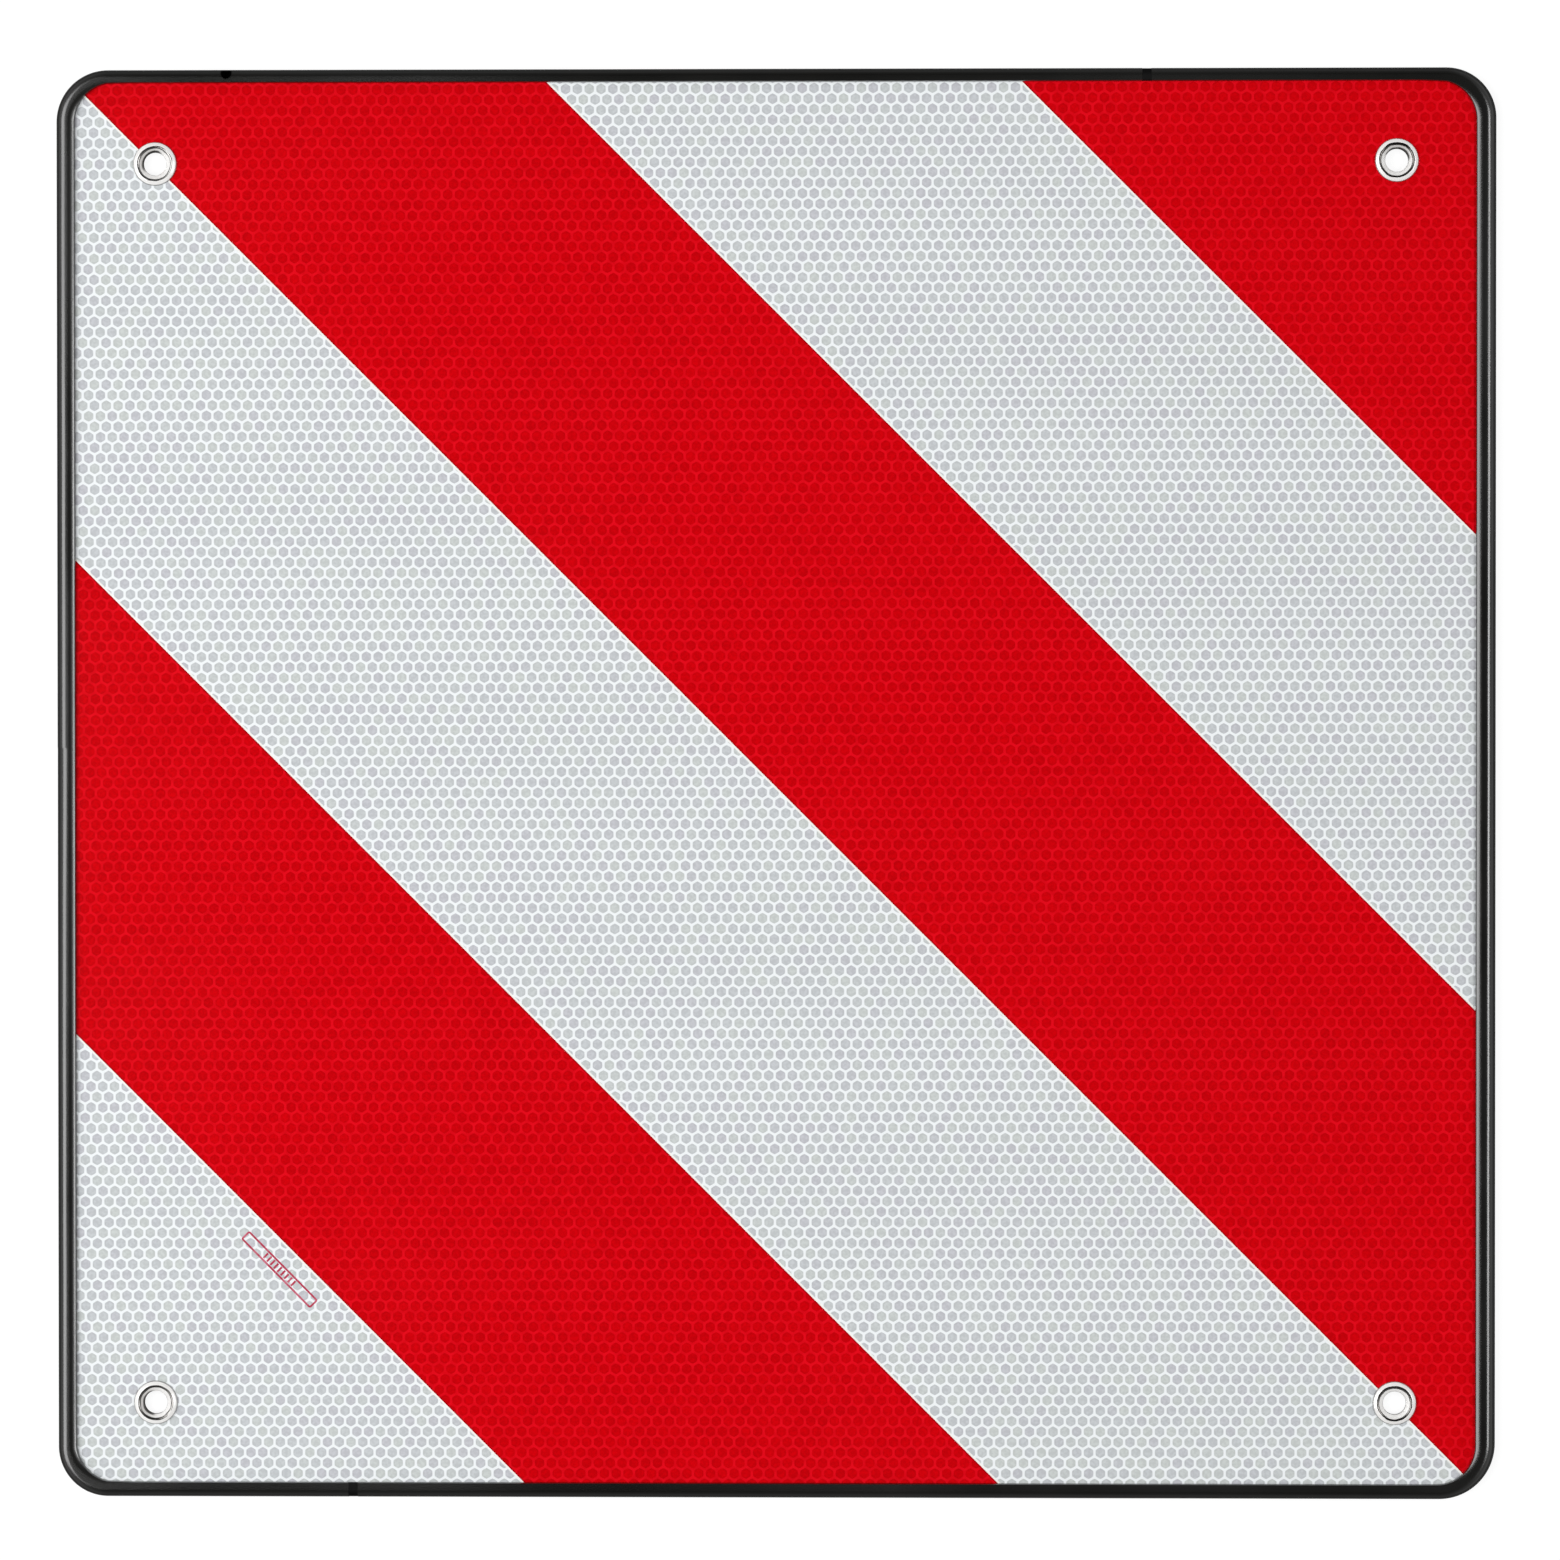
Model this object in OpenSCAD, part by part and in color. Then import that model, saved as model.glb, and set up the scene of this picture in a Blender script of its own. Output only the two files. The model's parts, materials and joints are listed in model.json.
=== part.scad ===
// Overhanging load marker board: a thin sheet with honeycomb reflective film,
// red diagonal fields, a soft edge trim in three lengths and four metal eyelets.
// The board lies flat with its reflective face up. The origin is at the middle
// of the board, on the plane that the trim rests on.

/* [Board] */
// Overall width over the edge trim
board_w = 500; // [300:1:800]
// Overall height over the edge trim
board_h = 496.6; // [300:0.2:800]
// Outer corner radius of the edge trim
board_corner_r = 18.4; // [12:0.2:40]

/* [Sheet and film] */
// Thickness of the aluminium sheet
sheet_t = 1; // [0.8:0.1:3]
// Thickness of the reflective film
film_t = 0.4; // [0.3:0.05:1]
// Depth of the red ink fields, flush with the film's face
ink_t = 0.1; // [0.05:0.05:0.2]

/* [Diagonal bands] */
// Width of one band, measured square to its edges
band_w = 116.7; // [60:0.1:160]
// Distance of the middle band edge from the board's centre
band_shift = -0.4; // [-10:0.1:10]
// Slope of the bands, down to the right
band_angle = 45; // [30:1:60]

/* [Edge trim] */
// Wall of the trim outside the sheet's edge
trim_wall = 1.6; // [1:0.1:3]
// Thickness of the front lip over the film
front_lip_t = 2.1; // [1.6:0.1:4]
// Thickness of the back lip under the sheet
back_lip_t = 2.1; // [2:0.1:4]
// Visible width of the front lip on the left side
lip_left = 6.4; // [4:0.1:12]
// Visible width of the front lip on the right side
lip_right = 7; // [4:0.1:12]
// Visible width of the front lip at the top
lip_top = 4.3; // [4:0.1:12]
// Visible width of the front lip at the bottom
lip_bottom = 5.4; // [4:0.1:12]
// Width of the back lip on all sides
lip_back = 6.4; // [4:0.1:12]
// Corner radius of the window in the front lip
window_corner_r = 13.6; // [8:0.2:30]
// Corner radius of the opening in the back lip
back_corner_r = 13; // [8:0.2:30]
// Rounding of the trim's outer front edge
front_shoulder_r = 2.6; // [0.5:0.1:2.6]
// Rounding of the trim's outer back edge
back_shoulder_r = 1.8; // [0.5:0.1:2]
// Rounding of the free edges of both lips
lip_edge_r = 1.3; // [0.3:0.1:1.5]

/* [Trim joints] */
// Place of the top joint, right of the centre line
top_joint_x = 129; // [0:1:160]
// Place of the bottom joint, right of the centre line
bottom_joint_x = -147; // [-160:1:0]
// Place of the butt joint on the left side, above the centre line
left_joint_y = 12.6; // [-100:0.1:100]
// Width of the filled gap at the top and bottom joints
joint_gap = 3.2; // [1:0.1:6]
// How far the filler lies below the trim's surface
filler_sink = 0.3; // [0.1:0.05:0.6]
// Place of the nick in the top length, right of the centre line
nick_x = -191.8; // [-200:0.1:-60]
// Width of the nick at the trim's outer edge
nick_w = 4.2; // [2:0.1:8]
// Width of the nick's inner slit
nick_slit_w = 1.7; // [0.8:0.1:4]
// Reach of the nick in from the trim's outer edge
nick_reach = 3.1; // [2:0.1:4]
// Depth of the nick below the front lip's face
nick_depth = 0.9; // [0.3:0.1:1.2]

/* [Eyelets] */
// Distance of the left eyelets' centres from the board's left edge
eyelet_from_left = 34.1; // [24:0.1:60]
// Distance of the right eyelets' centres from the board's right edge
eyelet_from_right = 34.5; // [24:0.1:60]
// Distance of the top eyelets' centres from the board's top edge
eyelet_from_top = 32.1; // [24:0.1:60]
// Distance of the bottom eyelets' centres from the board's bottom edge
eyelet_from_bottom = 33.1; // [24:0.1:60]
// Diameter of the through hole
eyelet_bore_d = 8; // [6:0.1:12]
// Diameter over the domed front flange
eyelet_flange_d = 15.2; // [14:0.1:18]
// Thickness of the eyelet's metal
eyelet_metal_t = 0.5; // [0.3:0.05:0.7]
// Radius of the rim rolled over the back washer
eyelet_roll_r = 1.1; // [0.9:0.05:1.2]
// Diameter of the back washer
washer_d = 16; // [14:0.1:20]
// Thickness of the back washer
washer_t = 0.5; // [0.3:0.05:0.8]
// Radial clearance between the eyelet's barrel and its holes
barrel_clearance = 0.1; // [0.05:0.05:0.4]

/* [Hidden] */
$fn = 96;

// Levels above the plane that the trim rests on
sheet_back_z = back_lip_t;
film_back_z = sheet_back_z + sheet_t;
film_face_z = film_back_z + film_t;
trim_t = film_face_z + front_lip_t;

// Outline of the sheet, held in the trim's slot
sheet_w = board_w - 2 * trim_wall;
sheet_h = board_h - 2 * trim_wall;
sheet_corner_r = board_corner_r - trim_wall;

// Window in the front lip, off centre where the lips differ
window_w = board_w - lip_left - lip_right;
window_h = board_h - lip_top - lip_bottom;
window_x = (lip_left - lip_right) / 2;
window_y = (lip_bottom - lip_top) / 2;

// Opening in the back lip
back_open_w = board_w - 2 * lip_back;
back_open_h = board_h - 2 * lip_back;

// Eyelet sections
bore_r = eyelet_bore_d / 2;
barrel_r = bore_r + eyelet_metal_t;
hole_r = barrel_r + barrel_clearance;
dome_r = (eyelet_flange_d / 2 - bore_r) / 2;
washer_back_z = sheet_back_z - washer_t;

// Longest distance needed to reach past the board in any direction
reach = board_w + board_h;
// Overlap that keeps cutters clear of the faces they pass through
over = 1;
// Count of band widths from the middle edge to past the top right corner
corner_band_end = ceil(reach / band_w);

rubber = [0.09, 0.09, 0.08];
filler = [0.02, 0.02, 0.02];
nickel = [0.86, 0.86, 0.85];
mill_aluminium = [0.78, 0.79, 0.8];
film_white = [0.87, 0.89, 0.9];
ink_red = [0.82, 0.02, 0.07];

// Rectangle with true arcs at its corners, centred on the origin
module rounded_rect(w, h, r) {
    square([w - 2 * r, h], center = true);
    square([w, h - 2 * r], center = true);
    for (sx = [-1, 1], sy = [-1, 1])
        translate([sx * (w / 2 - r), sy * (h / 2 - r)]) circle(r);
}

// Carries a section round the edge of a rounded rectangle. The section's x is the
// distance outward from the edge and its y is the height.
module round_the_edge(w, h, r) {
    for (side = [0:3]) {
        across = side % 2 == 0 ? w : h;
        along = side % 2 == 0 ? h : w;
        rotate([0, 0, side * 90]) translate([across / 2 - r, 0, 0]) {
            rotate([90, 0, 0])
                linear_extrude(along - 2 * r, center = true)
                    translate([r, 0]) children();
            translate([0, along / 2 - r, 0])
                rotate_extrude(angle = 90)
                    translate([r, 0]) children();
        }
    }
}

// Square corner piece that a rounding of radius r leaves outside
module outside_rounding(r) {
    difference() {
        translate([-r, -r]) square(r + over);
        translate([-r, -r]) circle(r);
    }
}

// Outer half of the trim's section, with both shoulders rounded
module bead_section(sink = 0) {
    difference() {
        translate([-board_corner_r, sink]) square([board_corner_r - sink, trim_t - 2 * sink]);
        translate([-sink, trim_t - sink]) outside_rounding(front_shoulder_r);
        translate([-sink, sink]) mirror([0, 1]) outside_rounding(back_shoulder_r);
    }
}

// Band cut away above a lip's free edge to round it; y is the height over the
// rounding's centre
module lip_rounding(r, face) {
    difference() {
        translate([-over, 0]) square([over + r, face + over]);
        translate([r, 0]) circle(r);
    }
}

// Space inside the front lip, from within the slot up past the lip's face
module front_window(sink = 0) {
    floor_z = film_back_z;
    depth = trim_t + over - floor_z;
    translate([window_x, window_y, 0]) {
        translate([0, 0, floor_z]) linear_extrude(depth)
            rounded_rect(window_w - over, window_h - over, window_corner_r - over / 2);
        round_the_edge(window_w, window_h, window_corner_r) {
            translate([-over, floor_z]) square([over, depth]);
            translate([0, trim_t - sink - lip_edge_r]) lip_rounding(lip_edge_r, lip_edge_r);
        }
    }
}

// Space inside the back lip, from below the lip's face up into the slot
module back_opening(sink = 0) {
    depth = film_back_z + over;
    translate([0, 0, -over]) linear_extrude(depth)
        rounded_rect(back_open_w - over, back_open_h - over, back_corner_r - over / 2);
    round_the_edge(back_open_w, back_open_h, back_corner_r) {
        translate([-over, -over]) square([over, depth]);
        translate([0, sink + lip_edge_r]) mirror([0, 1]) lip_rounding(lip_edge_r, lip_edge_r);
    }
}

// Whole ring of trim, gripping the sheet and film in its slot
module trim_ring(sink = 0) {
    difference() {
        round_the_edge(board_w, board_h, board_corner_r) bead_section(sink);
        front_window(sink);
        back_opening(sink);
        translate([0, 0, sheet_back_z]) linear_extrude(film_face_z - sheet_back_z)
            rounded_rect(sheet_w, sheet_h, sheet_corner_r);
    }
}

// Region of the board that holds the right length of trim
module right_region() {
    bottom_middle = [bottom_joint_x, -board_h / 4];
    top_middle = [top_joint_x, board_h / 4];
    polygon([
        [top_joint_x, reach], [reach, reach], [reach, -reach],
        [bottom_joint_x, -reach], bottom_middle, top_middle,
    ]);
}

// Gap across the trim at the top joint
module top_gap() {
    translate([top_joint_x - joint_gap / 2, 0]) square([joint_gap, board_h]);
}

// Gap across the trim at the bottom joint
module bottom_gap() {
    translate([bottom_joint_x - joint_gap / 2, -board_h]) square([joint_gap, board_h]);
}

// Funnel-shaped nick torn into the front of the top length
module nick() {
    flare_end = nick_reach / 3;
    translate([nick_x, board_h / 2, trim_t - nick_depth])
        linear_extrude(nick_depth + over)
            polygon([
                [-nick_w / 2, over], [nick_w / 2, over], [nick_w / 2, -flare_end / 2],
                [nick_slit_w / 2, -2 * flare_end], [nick_slit_w / 2, -nick_reach],
                [-nick_slit_w / 2, -nick_reach], [-nick_w / 2, -flare_end],
            ]);
}

// Block through the whole thickness over a region of the board
module through_board() {
    translate([0, 0, -over]) linear_extrude(trim_t + 2 * over) children();
}

module edge_trim_right() {
    color(rubber) intersection() {
        trim_ring();
        through_board() difference() {
            right_region();
            top_gap();
            bottom_gap();
        }
    }
}

// Left lengths of trim: the lower one when low is true, and else the upper one
module edge_trim_left(low) {
    color(rubber) intersection() {
        difference() {
            trim_ring();
            nick();
        }
        through_board() difference() {
            translate([-reach, low ? left_joint_y - reach : left_joint_y]) square([2 * reach, reach]);
            right_region();
            top_gap();
            bottom_gap();
        }
    }
}

module edge_trim_lower_left() edge_trim_left(true);

module edge_trim_upper_left() edge_trim_left(false);

// Sealant that fills a gap in the trim, a little below the trim's surface
module joint_filler() {
    color(filler) intersection() {
        trim_ring(filler_sink);
        through_board() children();
    }
}

module joint_filler_top() joint_filler() top_gap();

module joint_filler_bottom() joint_filler() bottom_gap();

// Puts something at the eyelet on one side, -1 for left, and one level, -1 for bottom
module at_eyelet(side, level) {
    x = side < 0 ? eyelet_from_left - board_w / 2 : board_w / 2 - eyelet_from_right;
    y = level < 0 ? eyelet_from_bottom - board_h / 2 : board_h / 2 - eyelet_from_top;
    translate([x, y, 0]) children();
}

// The four holes that the eyelets are set in
module eyelet_holes() {
    for (side = [-1, 1], level = [-1, 1]) at_eyelet(side, level) circle(hole_r);
}

// Outline shared by the sheet and the film
module sheet_outline() {
    difference() {
        rounded_rect(sheet_w, sheet_h, sheet_corner_r);
        eyelet_holes();
    }
}

module panel() {
    color(mill_aluminium) translate([0, 0, sheet_back_z]) linear_extrude(sheet_t) sheet_outline();
}

// Strip between two lines square to the bands' slope, counted in band widths
// from the middle edge towards the top right corner
module band_strip(from, to) {
    rotate([0, 0, 90 - band_angle])
        translate([band_shift + from * band_w, -reach]) square([(to - from) * band_w, 2 * reach]);
}

// Red field on the film, from one band edge to another
module red_field(from, to) {
    intersection() {
        sheet_outline();
        band_strip(from, to);
    }
}

module red_ink(from, to) {
    color(ink_red) translate([0, 0, film_face_z - ink_t]) linear_extrude(ink_t) red_field(from, to);
}

module red_band_corner() red_ink(2, corner_band_end);

module red_band_middle() red_ink(0, 1);

module red_band_lower() red_ink(-2, -1);

// White film; its face is level with the ink fields
module reflective_film() {
    color(film_white) difference() {
        translate([0, 0, film_back_z]) linear_extrude(film_t) sheet_outline();
        translate([0, 0, film_face_z - ink_t]) linear_extrude(over) {
            band_strip(2, corner_band_end);
            band_strip(0, 1);
            band_strip(-2, -1);
        }
    }
}

// Half ring of metal sheet in section, domed upward
module dome_section(outer_r, metal_t) {
    intersection() {
        difference() {
            circle(outer_r);
            circle(outer_r - metal_t);
        }
        translate([-outer_r, 0]) square([2 * outer_r, outer_r]);
    }
}

// One-piece eyelet: domed flange on the film, barrel, and rim rolled over the washer
module eyelet(side, level) {
    color(nickel) at_eyelet(side, level) rotate_extrude() {
        translate([bore_r + dome_r, film_face_z]) dome_section(dome_r, eyelet_metal_t);
        translate([bore_r, washer_back_z]) square([eyelet_metal_t, film_face_z - washer_back_z]);
        translate([bore_r + eyelet_roll_r, washer_back_z]) mirror([0, 1])
            dome_section(eyelet_roll_r, eyelet_metal_t);
    }
}

module eyelet_top_left() eyelet(-1, 1);

module eyelet_top_right() eyelet(1, 1);

module eyelet_bottom_left() eyelet(-1, -1);

module eyelet_bottom_right() eyelet(1, -1);

// Flat ring between the sheet's back and the eyelet's rolled rim
module washer(side, level) {
    color(nickel) at_eyelet(side, level) translate([0, 0, washer_back_z]) difference() {
        cylinder(h = washer_t, d = washer_d);
        translate([0, 0, -over]) cylinder(h = washer_t + 2 * over, r = hole_r);
    }
}

module washer_top_left() washer(-1, 1);

module washer_top_right() washer(1, 1);

module washer_bottom_left() washer(-1, -1);

module washer_bottom_right() washer(1, -1);

panel();
reflective_film();
red_band_corner();
red_band_middle();
red_band_lower();
edge_trim_right();
edge_trim_lower_left();
edge_trim_upper_left();
joint_filler_top();
joint_filler_bottom();
eyelet_top_left();
eyelet_top_right();
eyelet_bottom_left();
eyelet_bottom_right();
washer_top_left();
washer_top_right();
washer_bottom_left();
washer_bottom_right();
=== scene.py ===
"""Dresses an overhanging load marker board: a thin square sheet with honeycomb reflective
film, red diagonal fields, a soft black edge trim in three lengths and four metal eyelets.

The board lies flat with its film up and the camera looks down on it. Sizes in the
classes are in millimetres, as the board's maker would give them, and become metres
where a mesh or a node is made.
"""

import json
import logging
import math
from dataclasses import dataclass, field
from enum import Enum
from typing import Iterable, Iterator, Optional, Sequence, Union

import bpy
from mathutils import Matrix, Vector

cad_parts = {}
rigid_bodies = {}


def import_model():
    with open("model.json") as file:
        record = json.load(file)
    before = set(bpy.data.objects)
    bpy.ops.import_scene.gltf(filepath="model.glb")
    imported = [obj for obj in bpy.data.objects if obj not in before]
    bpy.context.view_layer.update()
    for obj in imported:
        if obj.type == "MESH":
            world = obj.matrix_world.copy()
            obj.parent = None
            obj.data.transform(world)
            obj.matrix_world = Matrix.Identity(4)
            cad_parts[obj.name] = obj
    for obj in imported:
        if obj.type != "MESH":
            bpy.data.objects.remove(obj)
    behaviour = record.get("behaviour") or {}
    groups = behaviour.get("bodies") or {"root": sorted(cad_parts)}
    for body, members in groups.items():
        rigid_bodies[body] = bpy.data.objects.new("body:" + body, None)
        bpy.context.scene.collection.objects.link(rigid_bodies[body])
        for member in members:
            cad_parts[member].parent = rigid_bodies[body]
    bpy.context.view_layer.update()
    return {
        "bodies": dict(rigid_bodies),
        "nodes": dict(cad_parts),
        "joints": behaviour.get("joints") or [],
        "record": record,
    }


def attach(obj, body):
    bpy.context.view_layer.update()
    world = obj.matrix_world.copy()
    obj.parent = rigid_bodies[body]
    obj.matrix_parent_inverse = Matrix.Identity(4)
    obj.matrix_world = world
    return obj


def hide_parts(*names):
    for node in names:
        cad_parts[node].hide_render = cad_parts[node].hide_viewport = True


log = logging.getLogger("marker_board")

MM = 0.001
Point = tuple[float, float]
Colour = tuple[float, float, float]
Socket = bpy.types.NodeSocket
Value = Union[float, Colour, Socket]


class Slot(Enum):
    """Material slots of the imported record."""

    SHEET = "aluminium_sheet"
    FILM = "white_film"
    INK = "red_ink"
    TRIM = "trim_rubber"
    SEALANT = "joint_sealant"
    METAL = "eyelet_nickel"


class Side(Enum):
    """Sides of the board as seen from the front, each with its outward direction."""

    LEFT = (-1.0, 0.0)
    RIGHT = (1.0, 0.0)
    TOP = (0.0, 1.0)
    BOTTOM = (0.0, -1.0)


def srgb(red: int, green: int, blue: int) -> Colour:
    """Linear colour of a screen colour.

    Args:
        red: Red level from 0 to 255.
        green: Green level from 0 to 255.
        blue: Blue level from 0 to 255.

    Returns:
        The three linear levels, from 0 to 1.
    """

    def linear(level: int) -> float:
        """Undoes the screen's tone curve for one level."""
        share = level / 255
        return share / 12.92 if share <= 0.04045 else ((share + 0.055) / 1.055) ** 2.4

    return linear(red), linear(green), linear(blue)


# Shader node building


class Nodes:
    """Builds one shader node tree, with a method for each kind of step."""

    def __init__(self, tree: bpy.types.ShaderNodeTree) -> None:
        """Keeps the tree that the steps are added to."""
        self.tree = tree

    def give(self, socket: Socket, value: Value) -> None:
        """Links a socket's source to it, or sets its value.

        Args:
            socket: The input to fill.
            value: Another node's output, a number, a vector or a colour.
        """
        if isinstance(value, Socket):
            self.tree.links.new(value, socket)
        elif socket.type == "RGBA" and not isinstance(value, (int, float)):
            socket.default_value = (*value, 1.0)
        else:
            socket.default_value = value

    def add(self, kind: str, inputs: dict[Union[str, int], Value], **settings: object) -> bpy.types.Node:
        """Adds a node.

        Args:
            kind: The node's type name.
            inputs: What each named or numbered input gets.
            **settings: Properties of the node itself.

        Returns:
            The new node.
        """
        node = self.tree.nodes.new(kind)
        for name, setting in settings.items():
            setattr(node, name, setting)
        for name, value in inputs.items():
            self.give(node.inputs[name], value)
        return node

    def maths(self, operation: str, *values: Value, clamp: bool = False) -> Socket:
        """Adds a Math node.

        Args:
            operation: The Math node's operation.
            *values: Its operands.
            clamp: Whether the result is kept from 0 to 1.

        Returns:
            The result.
        """
        inputs = dict(enumerate(values))
        return self.add("ShaderNodeMath", inputs, operation=operation, use_clamp=clamp).outputs[0]

    def vector(self, operation: str, *values: Value) -> bpy.types.Node:
        """Adds a Vector Math node and returns it."""
        return self.add("ShaderNodeVectorMath", dict(enumerate(values)), operation=operation)

    def parts(self, vector: Socket) -> tuple[Socket, Socket, Socket]:
        """Splits a vector into its three parts."""
        split = self.add("ShaderNodeSeparateXYZ", {0: vector})
        return split.outputs[0], split.outputs[1], split.outputs[2]

    def join(self, x: Value, y: Value, z: Value = 0.0) -> Socket:
        """Makes a vector of three parts."""
        return self.add("ShaderNodeCombineXYZ", {0: x, 1: y, 2: z}).outputs[0]

    def ramp(self, value: Value, low: float, high: float, start: float = 0.0, end: float = 1.0) -> Socket:
        """Eases a number from one level to another.

        Args:
            value: The number.
            low: Where the change begins.
            high: Where the change ends.
            start: The result up to the beginning.
            end: The result from the end on.

        Returns:
            The eased level.
        """
        inputs = {"Value": value, "From Min": low, "From Max": high, "To Min": start, "To Max": end}
        return self.add("ShaderNodeMapRange", inputs, interpolation_type="SMOOTHSTEP").outputs[0]

    def blend(self, share: Value, first: Value, second: Value) -> Socket:
        """Mixes two colours.

        Args:
            share: How much of the second colour shows.
            first: The first colour.
            second: The second colour.

        Returns:
            The mixed colour.
        """
        node = self.add("ShaderNodeMix", {}, data_type="RGBA", blend_type="MIX")
        self.give(node.inputs[0], share)
        self.give(node.inputs[6], first)
        self.give(node.inputs[7], second)
        return node.outputs[2]

    def noise(self, vector: Value, scale: float, detail: float = 2.0) -> bpy.types.Node:
        """Adds a Noise Texture in three dimensions and returns it."""
        inputs = {"Vector": vector, "Scale": scale, "Detail": detail, "Roughness": 0.5}
        return self.add("ShaderNodeTexNoise", inputs)

    def place(self) -> Socket:
        """Position on the piece in the board's own frame, in metres."""
        return self.add("ShaderNodeTexCoord", {}).outputs["Object"]

    def group(self, tree: bpy.types.ShaderNodeTree, inputs: dict[str, Value]) -> bpy.types.Node:
        """Places a shared group.

        Args:
            tree: The group.
            inputs: What each named input gets.

        Returns:
            The group's node.
        """
        node = self.tree.nodes.new("ShaderNodeGroup")
        node.node_tree = tree
        for name, value in inputs.items():
            self.give(node.inputs[name], value)
        return node


@dataclass(frozen=True)
class SharedEffect:
    """A named effect that several finishes place in their materials."""

    name: str
    inputs: tuple[tuple[str, str], ...]
    outputs: tuple[tuple[str, str], ...]

    def tree(self) -> bpy.types.ShaderNodeTree:
        """Finds the effect's node group, or builds it the first time.

        Returns:
            The group with its named inputs and outputs.
        """
        found = bpy.data.node_groups.get(self.name)
        if found:
            return found
        tree = bpy.data.node_groups.new(self.name, "ShaderNodeTree")
        for names, way in ((self.inputs, "INPUT"), (self.outputs, "OUTPUT")):
            for name, kind in names:
                tree.interface.new_socket(name, in_out=way, socket_type=kind)
        nodes = Nodes(tree)
        given = tree.nodes.new("NodeGroupInput").outputs
        results = self.build(nodes, {name: given[name] for name, _ in self.inputs})
        out = tree.nodes.new("NodeGroupOutput")
        for name, value in results.items():
            nodes.give(out.inputs[name], value)
        return tree

    def build(self, nodes: Nodes, given: dict[str, Socket]) -> dict[str, Socket]:
        """Builds what is inside the group.

        Args:
            nodes: The group's tree.
            given: The group's inputs by name.

        Returns:
            What each named output gets.
        """
        raise NotImplementedError


@dataclass(frozen=True)
class Honeycomb(SharedEffect):
    """Cells of a reflective film: rows of rounded six-sided cells between sealed lines."""

    name: str = "honeycomb cells"
    inputs: tuple[tuple[str, str], ...] = (
        ("Position", "NodeSocketVector"),
        ("Cell Pitch", "NodeSocketFloat"),
        ("Row Pitch", "NodeSocketFloat"),
        ("Line Width", "NodeSocketFloat"),
    )
    outputs: tuple[tuple[str, str], ...] = (
        ("Cell", "NodeSocketFloat"),
        ("Random", "NodeSocketFloat"),
        ("Tint", "NodeSocketFloat"),
        ("Reach", "NodeSocketFloat"),
    )

    def build(self, nodes: Nodes, given: dict[str, Socket]) -> dict[str, Socket]:
        """Finds the nearest cell's middle in two offset grids, and the reach from it.

        Args:
            nodes: The group's tree.
            given: The group's inputs by name.

        Returns:
            The cell mask, two random levels per cell and the reach from its middle.
        """
        row = math.sqrt(3) / 2
        x, y, _ = nodes.parts(given["Position"])
        u = nodes.maths("DIVIDE", x, given["Cell Pitch"])
        v = nodes.maths("MULTIPLY", nodes.maths("DIVIDE", y, given["Row Pitch"]), row)

        def offset(shift_u: float, shift_v: float) -> tuple[Socket, Socket, Socket]:
            """Offset from the nearest middle in one of the two grids, and its square."""
            du = nodes.maths("SUBTRACT", u, shift_u)
            dv = nodes.maths("SUBTRACT", v, shift_v)
            du = nodes.maths("SUBTRACT", du, nodes.maths("ROUND", du))
            turns = nodes.maths("ROUND", nodes.maths("DIVIDE", dv, 2 * row))
            dv = nodes.maths("SUBTRACT", dv, nodes.maths("MULTIPLY", turns, 2 * row))
            square = nodes.maths("ADD", nodes.maths("MULTIPLY", du, du), nodes.maths("MULTIPLY", dv, dv))
            return du, dv, square

        even_u, even_v, even = offset(0.0, 0.0)
        odd_u, odd_v, odd = offset(0.5, row)
        first = nodes.maths("LESS_THAN", even, odd)

        def pick(of_even: Socket, of_odd: Socket) -> Socket:
            """Takes the value of whichever grid is nearer."""
            step = nodes.maths("MULTIPLY", nodes.maths("SUBTRACT", of_even, of_odd), first)
            return nodes.maths("ADD", of_odd, step)

        local_u, local_v = pick(even_u, odd_u), pick(even_v, odd_v)
        wide = nodes.maths("ABSOLUTE", local_u)
        high = nodes.maths("MULTIPLY", nodes.maths("ABSOLUTE", local_v), row)
        slanted = nodes.maths("ADD", nodes.maths("MULTIPLY", wide, 0.5), high)
        six_sided = nodes.maths("MAXIMUM", wide, slanted)
        rounded = nodes.maths("SQRT", pick(even, odd))
        reach = nodes.maths("ADD", nodes.maths("MULTIPLY", six_sided, 0.65), nodes.maths("MULTIPLY", rounded, 0.34))
        share = nodes.maths("DIVIDE", given["Line Width"], given["Cell Pitch"])
        inside = nodes.maths("SUBTRACT", nodes.maths("SUBTRACT", 0.5, nodes.maths("MULTIPLY", share, 0.5)), reach)
        cell = nodes.ramp(inside, -0.045, 0.045)

        column = nodes.maths("ROUND", nodes.maths("MULTIPLY", nodes.maths("SUBTRACT", u, local_u), 2.0))
        line = nodes.maths("ROUND", nodes.maths("DIVIDE", nodes.maths("SUBTRACT", v, local_v), row))
        chance = nodes.add(
            "ShaderNodeTexWhiteNoise", {"Vector": nodes.join(column, line)}, noise_dimensions="2D"
        )
        tint, _, _ = nodes.parts(chance.outputs["Color"])
        return {"Cell": cell, "Random": chance.outputs["Value"], "Tint": tint, "Reach": reach}


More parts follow.
